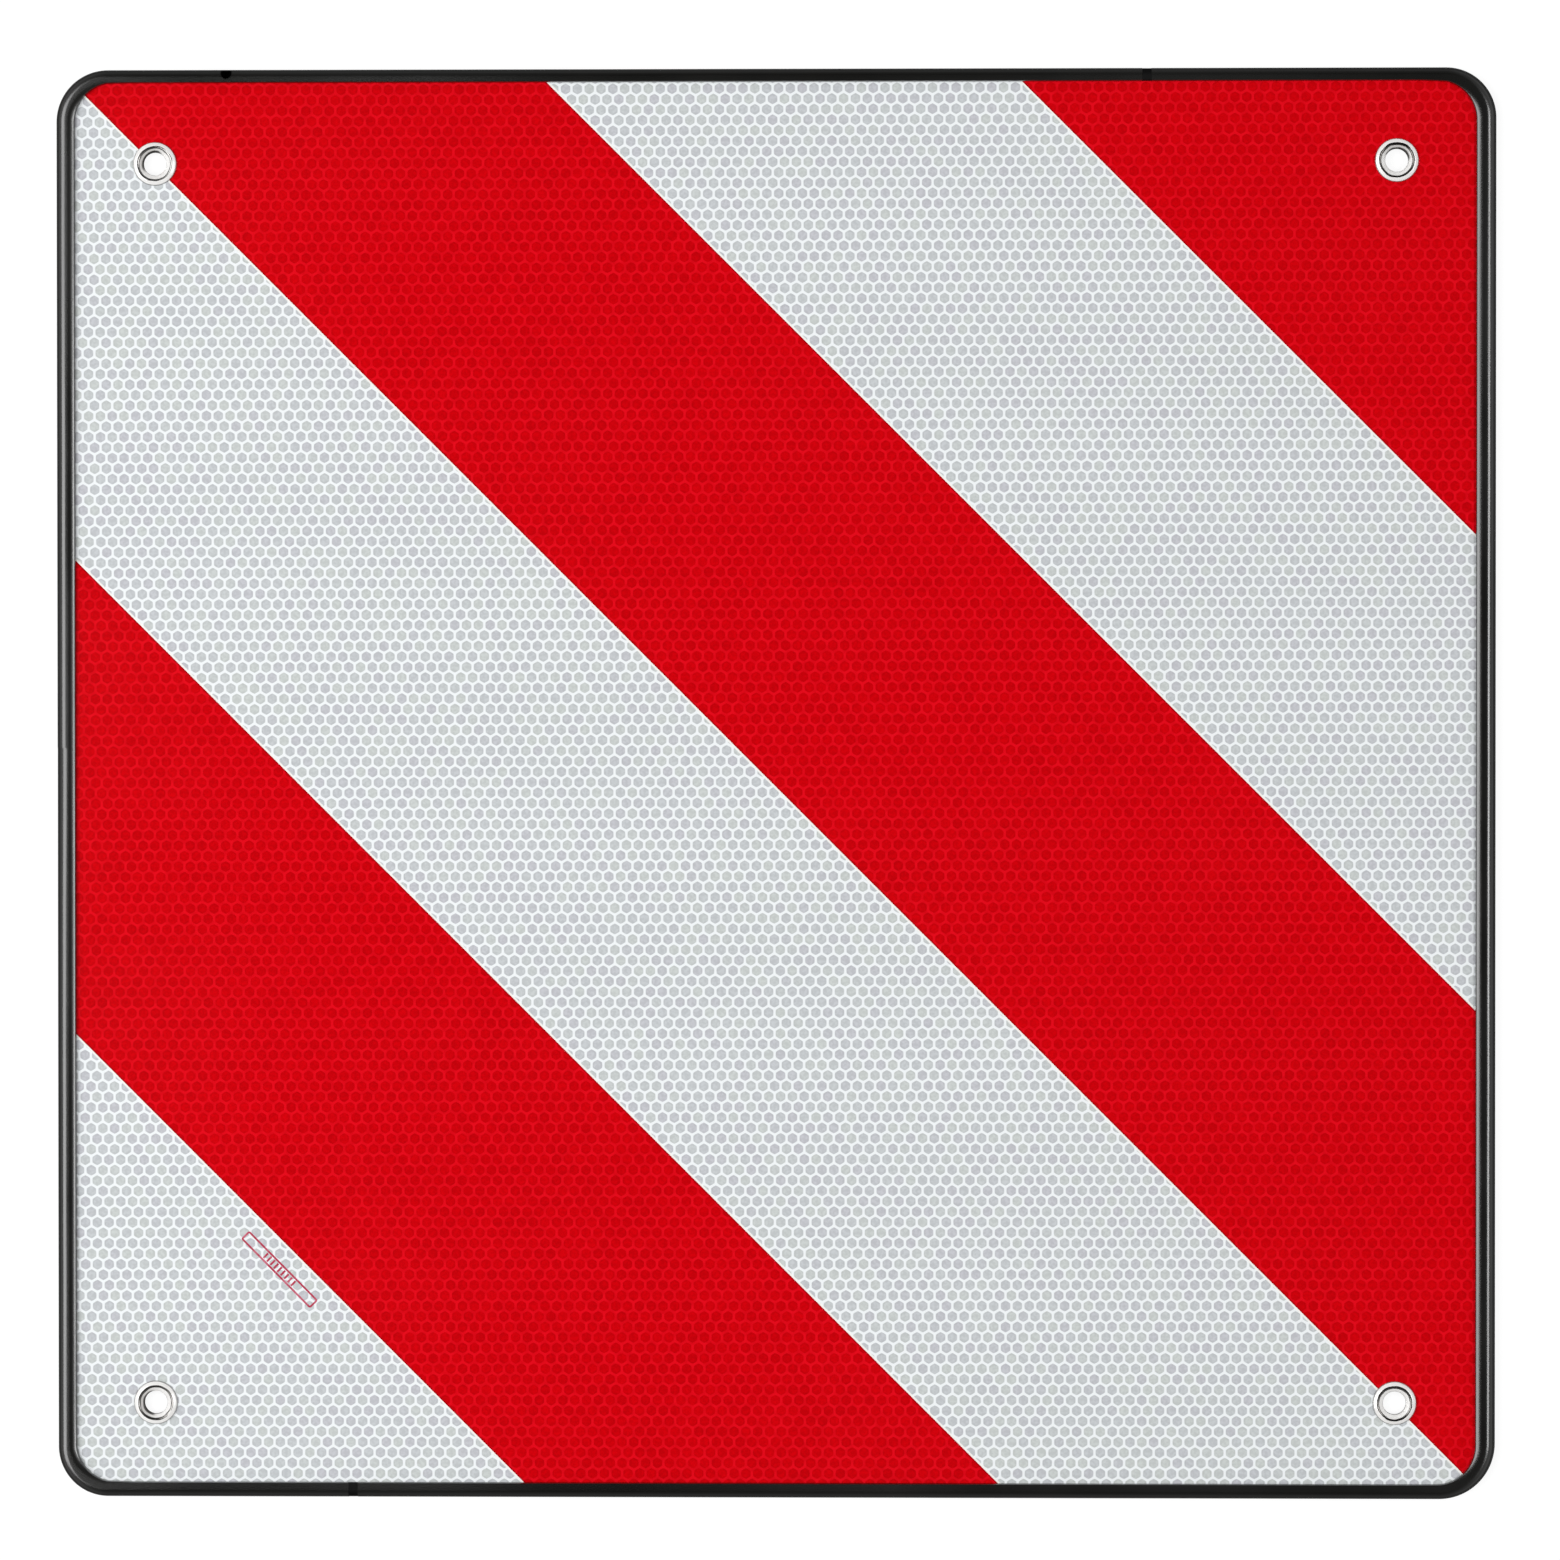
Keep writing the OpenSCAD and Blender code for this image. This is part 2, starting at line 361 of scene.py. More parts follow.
@dataclass(frozen=True)
class BandEdge(SharedEffect):
    """Distance of a point on the board from the nearest edge of a diagonal band."""

    name: str = "band edge distance"
    inputs: tuple[tuple[str, str], ...] = (
        ("Position", "NodeSocketVector"),
        ("Band Width", "NodeSocketFloat"),
        ("Shift", "NodeSocketFloat"),
    )
    outputs: tuple[tuple[str, str], ...] = (("Distance", "NodeSocketFloat"),)

    def build(self, nodes: Nodes, given: dict[str, Socket]) -> dict[str, Socket]:
        """Measures across the bands, which slope down to the right at 45 degrees.

        Args:
            nodes: The group's tree.
            given: The group's inputs by name.

        Returns:
            The distance in metres.
        """
        across = nodes.vector("DOT_PRODUCT", given["Position"], (math.sqrt(0.5), math.sqrt(0.5), 0.0))
        from_edge = nodes.maths("SUBTRACT", across.outputs["Value"], given["Shift"])
        bands = nodes.maths("DIVIDE", from_edge, given["Band Width"])
        off = nodes.maths("ABSOLUTE", nodes.maths("SUBTRACT", bands, nodes.maths("ROUND", bands)))
        return {"Distance": nodes.maths("MULTIPLY", off, given["Band Width"])}


@dataclass(frozen=True)
class Dust(SharedEffect):
    """A few pale specks and a faint cloudiness from handling."""

    name: str = "dust and handling"
    inputs: tuple[tuple[str, str], ...] = (
        ("Position", "NodeSocketVector"),
        ("Spacing", "NodeSocketFloat"),
        ("Size", "NodeSocketFloat"),
        ("Amount", "NodeSocketFloat"),
    )
    outputs: tuple[tuple[str, str], ...] = (
        ("Specks", "NodeSocketFloat"),
        ("Cloud", "NodeSocketFloat"),
    )

    def build(self, nodes: Nodes, given: dict[str, Socket]) -> dict[str, Socket]:
        """Keeps the middles of a few random cells as specks.

        Args:
            nodes: The group's tree.
            given: The group's inputs by name.

        Returns:
            The specks' mask and the cloud's level.
        """
        scale = nodes.maths("DIVIDE", 1.0, given["Spacing"])
        spots = nodes.add("ShaderNodeTexVoronoi", {"Vector": given["Position"], "Scale": scale})
        near = nodes.maths("MULTIPLY", spots.outputs["Distance"], given["Spacing"])
        edge = nodes.maths("DIVIDE", near, given["Size"])
        dot = nodes.ramp(edge, 0.35, 0.6, 1.0, 0.0)
        pick, _, _ = nodes.parts(spots.outputs["Color"])
        kept = nodes.maths("LESS_THAN", pick, given["Amount"])
        cloud = nodes.noise(given["Position"], 9.0, 4.0)
        return {"Specks": nodes.maths("MULTIPLY", dot, kept), "Cloud": cloud.outputs[0]}


@dataclass(frozen=True)
class Grain(SharedEffect):
    """Fine streaks along one direction, as rolling, polishing or extruding leaves them."""

    name: str = "drawn grain"
    inputs: tuple[tuple[str, str], ...] = (
        ("Position", "NodeSocketVector"),
        ("Across", "NodeSocketVector"),
    )
    outputs: tuple[tuple[str, str], ...] = (
        ("Streaks", "NodeSocketFloat"),
        ("Mottle", "NodeSocketFloat"),
    )

    def build(self, nodes: Nodes, given: dict[str, Socket]) -> dict[str, Socket]:
        """Stretches a fine noise by the scales given for the three directions.

        Args:
            nodes: The group's tree.
            given: The group's inputs by name.

        Returns:
            The streaks' level and a broader mottle.
        """
        stretched = nodes.vector("MULTIPLY", given["Position"], given["Across"]).outputs[0]
        streaks = nodes.noise(stretched, 1.0, 3.0).outputs[0]
        mottle = nodes.noise(given["Position"], 55.0, 3.0).outputs[0]
        return {"Streaks": streaks, "Mottle": mottle}


@dataclass(frozen=True)
class EyeletPaintedShade(SharedEffect):
    """Painted shade of an eyelet: a painted dark reflection ring at its crest, painted shade inside its hole and a
    painted shadow at its flange's edge.
    """

    name: str = "eyelet painted shade"
    inputs: tuple[tuple[str, str], ...] = (
        ("Position", "NodeSocketVector"),
        ("Centre", "NodeSocketVector"),
        ("Shaded Side", "NodeSocketVector"),
    )
    outputs: tuple[tuple[str, str], ...] = (
        ("Ring", "NodeSocketFloat"),
        ("Lip", "NodeSocketFloat"),
        ("Funnel", "NodeSocketFloat"),
        ("Edge", "NodeSocketFloat"),
    )

    def build(self, nodes: Nodes, given: dict[str, Socket]) -> dict[str, Socket]:
        """Measures the distance from the eyelet's axis and the turn from its shaded side.

        Args:
            nodes: The group's tree.
            given: The group's inputs by name.

        Returns:
            The masks of the painted dark reflection ring, the painted shade on the hole's lip and in the funnel, and
            the painted shadow at the flange's edge.
        """
        x, y, _ = nodes.parts(nodes.vector("SUBTRACT", given["Position"], given["Centre"]).outputs[0])
        flat = nodes.join(x, y)
        radius = nodes.vector("LENGTH", flat).outputs["Value"]
        toward = nodes.vector("DOT_PRODUCT", flat, given["Shaded Side"]).outputs["Value"]
        side = nodes.maths("DIVIDE", toward, radius)
        wave = nodes.noise(given["Position"], 240.0, 1.0).outputs[0]
        uneven = nodes.maths("ADD", radius, nodes.maths("MULTIPLY_ADD", wave, 0.7 * MM, -0.35 * MM))
        # Painted dark reflection ring round the crest, a little wider on the shaded side.
        inner = nodes.ramp(nodes.maths("MULTIPLY_ADD", side, 0.12 * MM, uneven), 5.2 * MM, 5.45 * MM)
        ring = nodes.maths("MULTIPLY", inner, nodes.ramp(uneven, 6.05 * MM, 6.25 * MM, 1.0, 0.0))
        # Painted shade on the shaded side of the hole's lip, and on that side of the funnel.
        lip = nodes.maths("MULTIPLY", nodes.ramp(uneven, 4.3 * MM, 4.7 * MM, 1.0, 0.0), nodes.ramp(side, -0.05, 0.6))
        within = nodes.ramp(uneven, 5.1 * MM, 5.4 * MM, 1.0, 0.0)
        funnel = nodes.maths("MULTIPLY", within, nodes.ramp(side, -0.3, 0.9))
        # The Edge mask is a painted shadow round the flange's outer edge.
        return {"Ring": ring, "Lip": lip, "Funnel": funnel, "Edge": nodes.ramp(radius, 7.15 * MM, 7.5 * MM)}


# Finishes


@dataclass(frozen=True)
class Finish:
    """What every finish shares: its name, its slot and a Principled material."""

    name: str
    slot: Slot

    def material(self) -> bpy.types.Material:
        """Finds the finish's material, or makes it the first time.

        Returns:
            The material.
        """
        found = bpy.data.materials.get(self.name)
        if found:
            return found
        made = bpy.data.materials.new(self.name)
        made.use_nodes = True
        nodes = Nodes(made.node_tree)
        self.dress(nodes, made.node_tree.nodes["Principled BSDF"])
        return made

    def dress(self, nodes: Nodes, shader: bpy.types.Node) -> None:
        """Feeds the shader.

        Args:
            nodes: The material's tree.
            shader: Its Principled BSDF.
        """
        raise NotImplementedError

    @staticmethod
    def bump(nodes: Nodes, shader: bpy.types.Node, height: Socket, strength: float, depth: float) -> None:
        """Raises the surface a little by a height map.

        Args:
            nodes: The material's tree.
            shader: Its Principled BSDF.
            height: The height map, from 0 to 1.
            strength: How much of the effect shows.
            depth: Height of a full step, in millimetres.
        """
        relief = nodes.add("ShaderNodeBump", {"Height": height, "Strength": strength, "Distance": depth * MM})
        nodes.give(shader.inputs["Normal"], relief.outputs[0])


@dataclass(frozen=True)
class ReflectiveFinish(Finish):
    """Honeycomb film, white or under red ink."""

    cells: tuple[Colour, Colour, Colour]
    line: Colour
    rim: Colour
    rim_width: float
    rim_share: float
    cell_contrast: float
    speck: Colour
    line_fade: float
    cell_pitch: float = 4.1086
    row_pitch: float = 3.647
    line_width: float = 0.86
    first_cell: Point = (1.732, 0.831)
    turned: float = 0.0018
    band_width: float = 116.7
    band_shift: float = -0.4

    def dress(self, nodes: Nodes, shader: bpy.types.Node) -> None:
        """Colours the cells one by one, with painted shade towards each cell's rim, the sealed lines between them and
        the print's rim.

        Args:
            nodes: The material's tree.
            shader: Its Principled BSDF.
        """
        place = nodes.place()
        start = {"Location": (self.first_cell[0] * MM, self.first_cell[1] * MM, 0.0), "Rotation": (0.0, 0.0, self.turned)}
        laid = nodes.add("ShaderNodeMapping", {"Vector": place, **start}, vector_type="TEXTURE").outputs[0]
        comb = nodes.group(Honeycomb().tree(), {
            "Position": laid,
            "Cell Pitch": self.cell_pitch * MM,
            "Row Pitch": self.row_pitch * MM,
            "Line Width": self.line_width * MM,
        }).outputs
        edge = nodes.group(BandEdge().tree(), {
            "Position": place, "Band Width": self.band_width * MM, "Shift": self.band_shift * MM,
        }).outputs["Distance"]
        dust = nodes.group(Dust().tree(), {
            "Position": place, "Spacing": 0.05, "Size": 0.8 * MM, "Amount": 0.12,
        }).outputs
        drift = nodes.noise(place, 11.0, 2.0).outputs[0]
        lean = nodes.maths("ADD", nodes.maths("MULTIPLY", comb["Tint"], 0.6), nodes.maths("MULTIPLY", drift, 0.45))
        tone = nodes.blend(nodes.ramp(lean, 0.2, 0.52), self.cells[0], self.cells[1])
        tone = nodes.blend(nodes.ramp(lean, 0.5, 0.82), tone, self.cells[2])
        flecks = nodes.ramp(nodes.noise(place, 900.0, 2.0).outputs[0], 0.35, 0.68, -0.05, 0.05)
        # Painted shade: each cell a little darker towards its rim, as the shade of its embossed edge.
        cell_rim_shade = nodes.ramp(comb["Reach"], 0.22, 0.36, 0.0, -0.05)
        level = nodes.maths("MULTIPLY_ADD", nodes.maths("SUBTRACT", comb["Random"], 0.5), 0.07, 1.02)
        level = nodes.maths("ADD", level, nodes.maths("MULTIPLY", nodes.maths("ADD", flecks, cell_rim_shade), self.cell_contrast))
        tone = nodes.vector("MULTIPLY", tone, nodes.join(level, level, level)).outputs[0]
        faded = nodes.ramp(nodes.noise(place, 330.0, 1.0).outputs[0], 0.35, 0.65, 0.0, self.line_fade)
        line = nodes.blend(faded, self.line, tone)
        surface = nodes.blend(comb["Cell"], line, tone)
        rim = nodes.ramp(edge, 0.5 * self.rim_width * MM, self.rim_width * MM, self.rim_share, 0.0)
        surface = nodes.blend(rim, surface, self.rim)
        surface = nodes.blend(nodes.maths("MULTIPLY", dust["Specks"], 0.6), surface, self.speck)
        nodes.give(shader.inputs["Base Color"], surface)
        nodes.give(shader.inputs["Roughness"], nodes.ramp(dust["Cloud"], 0.3, 0.7, 0.1, 0.14))
        shader.inputs["IOR"].default_value = 1.49
        shader.inputs["Specular IOR Level"].default_value = 0.35
        self.bump(nodes, shader, comb["Cell"], 0.12, 0.02)


@dataclass(frozen=True)
class RubberFinish(Finish):
    """Black trim rubber, or the sealant in its joints."""

    colour: Colour
    bloom: Colour
    roughness: tuple[float, float]
    specular: float
    # Where the painted shade of the nick lies, and how far it reaches.
    painted_nick_shade_at: Point
    painted_nick_shade_reach: Point

    def dress(self, nodes: Nodes, shader: bpy.types.Node) -> None:
        """Gives the rubber its faint bloom, uneven gloss and fine skin, and paints the nick a black that gives no light
        back, as painted shade in the recess.

        Args:
            nodes: The material's tree.
            shader: Its Principled BSDF.
        """
        place = nodes.place()
        grain = nodes.group(Grain().tree(), {"Position": place, "Across": (620.0, 620.0, 2200.0)}).outputs
        dust = nodes.group(Dust().tree(), {
            "Position": place, "Spacing": 0.012, "Size": 0.35 * MM, "Amount": 0.1,
        }).outputs
        haze = nodes.ramp(grain["Mottle"], 0.35, 0.75, 0.0, 0.5)
        tone = nodes.blend(haze, self.colour, self.bloom)
        tone = nodes.blend(nodes.maths("MULTIPLY", dust["Specks"], 0.35), tone, srgb(120, 118, 112))
        # Painted shade: the nick in the top length is painted black and made metallic, so it gives no light back as a
        # shaded recess would.
        x, y, _ = nodes.parts(place)
        off = nodes.join(
            nodes.maths("DIVIDE", nodes.maths("SUBTRACT", x, self.painted_nick_shade_at[0] * MM), self.painted_nick_shade_reach[0] * MM),
            nodes.maths("DIVIDE", nodes.maths("SUBTRACT", y, self.painted_nick_shade_at[1] * MM), self.painted_nick_shade_reach[1] * MM),
        )
        painted_nick_shade = nodes.ramp(nodes.vector("LENGTH", off).outputs["Value"], 0.75, 1.0, 1.0, 0.0)
        nodes.give(shader.inputs["Base Color"], nodes.blend(painted_nick_shade, tone, srgb(2, 2, 2)))
        nodes.give(shader.inputs["Metallic"], painted_nick_shade)
        nodes.give(shader.inputs["Roughness"], nodes.ramp(dust["Cloud"], 0.3, 0.7, *self.roughness))
        shader.inputs["Specular IOR Level"].default_value = self.specular
        self.bump(nodes, shader, grain["Streaks"], 0.12, 0.03)


@dataclass(frozen=True)
class MetalFinish(Finish):
    """Bare metal: bright nickel, or the mill finish of the sheet's back."""

    colour: Colour
    dull: Colour
    roughness: tuple[float, float]
    across: Colour
    relief: float

    def dress(self, nodes: Nodes, shader: bpy.types.Node) -> None:
        """Gives the metal its grain, its handling marks and an uneven gloss.

        Args:
            nodes: The material's tree.
            shader: Its Principled BSDF.
        """
        place = nodes.place()
        grain = nodes.group(Grain().tree(), {"Position": place, "Across": self.across}).outputs
        tone = nodes.blend(nodes.ramp(grain["Streaks"], 0.3, 0.7), self.colour, self.dull)
        nodes.give(shader.inputs["Base Color"], tone)
        nodes.give(shader.inputs["Roughness"], nodes.ramp(grain["Mottle"], 0.3, 0.7, *self.roughness))
        shader.inputs["Metallic"].default_value = 1.0
        self.bump(nodes, shader, grain["Streaks"], 0.15, self.relief)


@dataclass(frozen=True)
class EyeletFinish(Finish):
    """Bright metal of one set eyelet, with painted shade, a painted dark reflection ring and a painted edge shadow laid
    over it.
    """

    metal: MetalFinish
    centre: Point
    shaded_side: float
    # ring and lip set how strong the painted dark reflection ring and the painted shade at the hole are; dark and
    # shaded are their painted colours.
    ring: float
    lip: float
    dark: Colour
    shaded: Colour

    def dress(self, nodes: Nodes, shader: bpy.types.Node) -> None:
        """Lays the painted dark reflection ring, the painted shade in the hole and the painted shadow at the flange's
        edge over the bare metal.

        Args:
            nodes: The material's tree.
            shader: Its Principled BSDF.
        """
        self.metal.dress(nodes, shader)
        turn = math.radians(self.shaded_side)
        inputs: dict[str, Value] = {
            "Position": nodes.place(),
            "Centre": (self.centre[0] * MM, self.centre[1] * MM, 0.0),
            "Shaded Side": (math.cos(turn), math.sin(turn), 0.0),
        }
        painted_shading = nodes.group(EyeletPaintedShade().tree(), inputs).outputs
        bare = shader.inputs["Base Color"].links[0].from_socket
        # Painted shade on the shaded side of the funnel; the painted dark reflection ring, lip shade and edge shadow
        # take the dark colour.
        funnel = nodes.maths("MULTIPLY", painted_shading["Funnel"], self.lip)
        painted_shade = nodes.maths(
            "MAXIMUM",
            nodes.maths("MULTIPLY", painted_shading["Ring"], self.ring),
            nodes.maths("MULTIPLY", painted_shading["Lip"], self.lip),
        )
        painted_shade = nodes.maths("MAXIMUM", painted_shade, nodes.maths("MULTIPLY", painted_shading["Edge"], 0.6))
        nodes.give(shader.inputs["Base Color"], nodes.blend(painted_shade, nodes.blend(funnel, bare, self.shaded), self.dark))
        # Painted reflection: outside the painted shade the metal is almost wholly diffuse, so its near-white colour
        # stands in for the nickel's bright reflection; in the painted shade it is full metal.
        nodes.give(shader.inputs["Metallic"], nodes.ramp(painted_shade, 0.1, 0.8, 0.05, 1.0))
        shader.inputs["Specular IOR Level"].default_value = 0.8


@dataclass(frozen=True)
class PrintFinish(Finish):
    """Thin red line print, uneven where the honeycomb takes less ink."""

    colour: Colour
    faint: Colour

    def dress(self, nodes: Nodes, shader: bpy.types.Node) -> None:
        """Lets the ink thin out here and there.

        Args:
            nodes: The material's tree.
            shader: Its Principled BSDF.
        """
        cover = nodes.noise(nodes.place(), 420.0, 2.0).outputs[0]
        nodes.give(shader.inputs["Base Color"], nodes.blend(nodes.ramp(cover, 0.4, 0.65), self.colour, self.faint))
        shader.inputs["Roughness"].default_value = 0.3


WHITE_FILM = ReflectiveFinish(
    name="white_honeycomb_film",
    slot=Slot.FILM,
    cells=(srgb(203, 204, 210), srgb(202, 206, 209), srgb(203, 208, 206)),
    line=srgb(248, 252, 254),
    rim=srgb(255, 253, 248),
    rim_width=0.9,
    rim_share=0.95,
    cell_contrast=1.3,
    line_fade=0.0,
    speck=srgb(170, 172, 172),
)
RED_FILM = ReflectiveFinish(
    name="red_honeycomb_film",
    slot=Slot.INK,
    cells=(srgb(205, 1, 11), srgb(207, 1, 11), srgb(208, 2, 12)),
    line=srgb(233, 11, 28),
    rim=srgb(160, 0, 10),
    rim_width=0.65,
    rim_share=0.75,
    cell_contrast=1.5,
    line_fade=0.4,
    speck=srgb(226, 120, 110),
)
TRIM_RUBBER = RubberFinish(
    name="black_trim_rubber",
    slot=Slot.TRIM,
    colour=srgb(11, 11, 9),
    bloom=srgb(20, 19, 16),
    roughness=(0.19, 0.28),
    specular=1.0,
    painted_nick_shade_at=(-190.6, 247.2),
    painted_nick_shade_reach=(2.2, 2.5),
)
SEALANT = RubberFinish(
    name="black_joint_sealant",
    slot=Slot.SEALANT,
    colour=srgb(3, 3, 3),
    bloom=srgb(7, 7, 7),
    roughness=(0.55, 0.7),
    specular=0.15,
    painted_nick_shade_at=(0.0, 0.0),
    painted_nick_shade_reach=(1.0, 1.0),
)
NICKEL = MetalFinish(
    name="bright_nickel",
    slot=Slot.METAL,
    colour=srgb(255, 254, 252),
    dull=srgb(250, 248, 246),
    roughness=(0.16, 0.24),
    across=(240.0, 240.0, 500.0),
    relief=0.003,
)
MILL_ALUMINIUM = MetalFinish(
    name="mill_aluminium",
    slot=Slot.SHEET,
    colour=srgb(214, 215, 216),
    dull=srgb(196, 197, 199),
    roughness=(0.32, 0.46),
    across=(2600.0, 40.0, 500.0),
    relief=0.01,
)
LINE_PRINT = PrintFinish(
    name="red_line_print",
    slot=Slot.INK,
    colour=srgb(186, 40, 74),
    faint=srgb(208, 104, 126),
)


# Mesh building


def new_piece(
    name: str,
    points: Sequence[Sequence[float]],
    faces: Sequence[Sequence[int]],
    finish: Finish,
    sharp: float = 35.0,
) -> bpy.types.Object:
    """Makes a piece of the board from points in millimetres.

    Args:
        name: The piece's name.
        points: Its points in the board's frame.
        faces: Its faces as point numbers.
        finish: Its finish.
        sharp: Edges that turn by more than this angle, in degrees, stay crisp.

    Returns:
        The new object, riding on the board.
    """
    mesh = bpy.data.meshes.new(name)
    mesh.from_pydata([[c * MM for c in p] for p in points], [], faces)
    mesh.validate()
    mesh.shade_smooth()
    mesh.set_sharp_from_angle(angle=math.radians(sharp))
    mesh.materials.append(finish.material())
    piece = bpy.data.objects.new(name, mesh)
    bpy.context.scene.collection.objects.link(piece)
    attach(piece, "root")
    log.info("%s: %d faces, %s", name, len(mesh.polygons), finish.name)
    return piece


def dress_node(frame: dict, name: str, finish: Finish) -> None:
    """Gives a node of the frame its finish.

    Args:
        frame: The loaded frame.
        name: The node's name.
        finish: Its finish.
    """
    mesh = frame["nodes"][name].data
    mesh.materials.clear()
    mesh.materials.append(finish.material())
    log.info("%s: frame node, %s", name, finish.name)


def arc(
    centre: Point, radius: float, start: float, end: float, steps: int, rise: Optional[float] = None
) -> list[Point]:
    """Points on an arc, round or flattened.

    Args:
        centre: The arc's middle.
        radius: Its radius, or its half width where it is flattened.
        start: First angle in degrees.
        end: Last angle in degrees.
        steps: Number of steps.
        rise: Its half height where it is flattened.

    Returns:
        The points, both ends included.
    """
    angles = [math.radians(start + (end - start) * i / steps) for i in range(steps + 1)]
    rise = radius if rise is None else rise
    return [(centre[0] + radius * math.cos(a), centre[1] + rise * math.sin(a)) for a in angles]


def closed_strip(rings: int, size: int, loop: bool) -> Iterator[tuple[int, ...]]:
    """Faces of a tube of rings with equally many points each.

    Args:
        rings: Number of rings.
        size: Points in a ring.
        loop: Whether the last ring joins the first.

    Yields:
        One face with four corners at a time.
    """
    for ring in range(rings if loop else rings - 1):
        after = (ring + 1) % rings
        for spot in range(size):
            following = (spot + 1) % size
            yield (ring * size + spot, ring * size + following, after * size + following, after * size + spot)


@dataclass(frozen=True)
class RoundedRect:
    """Rectangle with round corners."""

    width: float
    height: float
    radius: float
    centre: Point = (0.0, 0.0)

    def beyond(self, x: float, y: float) -> float:
        """Distance of a point outside the outline, negative inside."""
        over_x = abs(x - self.centre[0]) - self.width / 2 + self.radius
        over_y = abs(y - self.centre[1]) - self.height / 2 + self.radius
        outside = math.hypot(max(over_x, 0.0), max(over_y, 0.0))
        return outside + min(max(over_x, over_y), 0.0) - self.radius

    def reach_from(self, start: Vector, inward: Vector) -> float:
        """Distance from a point outside to the outline.

        Args:
            start: The point.
            inward: Direction to go in.

        Returns:
            The distance in millimetres.
        """
        low, high = 0.0, 25.0
        for _ in range(40):
            middle = (low + high) / 2
            spot = start + inward * middle
            if self.beyond(spot.x, spot.y) > 0:
                low = middle
            else:
                high = middle
        return (low + high) / 2


@dataclass(frozen=True)
class Station:
    """One place on the board's edge."""

    edge: Vector
    inward: Vector
    travelled: float


# Sub-assemblies


@dataclass
class Board:
    """Aluminium sheet with its film, the red fields and the small printed frame."""

    face: float = 3.5
    frame_centre: Point = (-172.7, -169.1)
    frame_length: float = 34.2
    frame_width: float = 4.1
    frame_line: float = 0.65
    frame_radius: float = 0.8
    frame_slope: float = -45.3
    tick_count: int = 9
    tick_pitch: float = 1.7
    tick_length: float = 2.3
    tick_line: float = 0.7
    print_height: float = 0.03
    fields: tuple[str, ...] = ("red_band_corner", "red_band_middle", "red_band_lower")

    def dress(self, frame: dict) -> None:
        """Gives the sheet, the film and the ink fields their finishes.

        Args:
            frame: The loaded frame.
        """
        dress_node(frame, "panel", MILL_ALUMINIUM)
        dress_node(frame, "reflective_film", WHITE_FILM)
        for name in self.fields:
            dress_node(frame, name, RED_FILM)

    def build_print(self) -> None:
        """Lays the thin printed frame on the white corner, with plain ticks in it."""
        outer = self.outline(0.0)
        inner = self.outline(self.frame_line)
        points, faces = self.flat_ring(outer, inner)
        half, reach = self.tick_line / 2, self.tick_length / 2
        for place in range(self.tick_count):
            x = (place - (self.tick_count - 1) / 2) * self.tick_pitch
            start = len(points)
            points += [(x - half, -reach), (x + half, -reach), (x + half, reach), (x - half, reach)]
            faces.append((start, start + 1, start + 2, start + 3))
        turn = Matrix.Rotation(math.radians(self.frame_slope), 2)
        placed = []
        for point in points:
            spot = turn @ Vector(point)
            placed.append((spot.x + self.frame_centre[0], spot.y + self.frame_centre[1], self.face + self.print_height))
        new_piece("printed_frame", placed, faces, LINE_PRINT)

    def outline(self, inset: float) -> list[Point]:
        """Outline of the printed frame.

        Args:
            inset: How far the outline is drawn in.

        Returns:
            The outline's points.
        """
        radius = max(self.frame_radius - inset, 0.1)
        x = self.frame_length / 2 - inset - radius
        y = self.frame_width / 2 - inset - radius
        corners = ((x, y, 0), (-x, y, 90), (-x, -y, 180), (x, -y, 270))
        return [p for cx, cy, turn in corners for p in arc((cx, cy), radius, turn, turn + 90, 6)]

    @staticmethod
    def flat_ring(outer: list[Point], inner: list[Point]) -> tuple[list[Point], list[tuple[int, ...]]]:
        """Flat faces between two outlines with as many points.

        Args:
            outer: The outer outline.
            inner: The inner outline.

        Returns:
            The points and the faces.
        """
        count = len(outer)
        faces = [(i, (i + 1) % count, count + (i + 1) % count, count + i) for i in range(count)]
        return outer + inner, faces


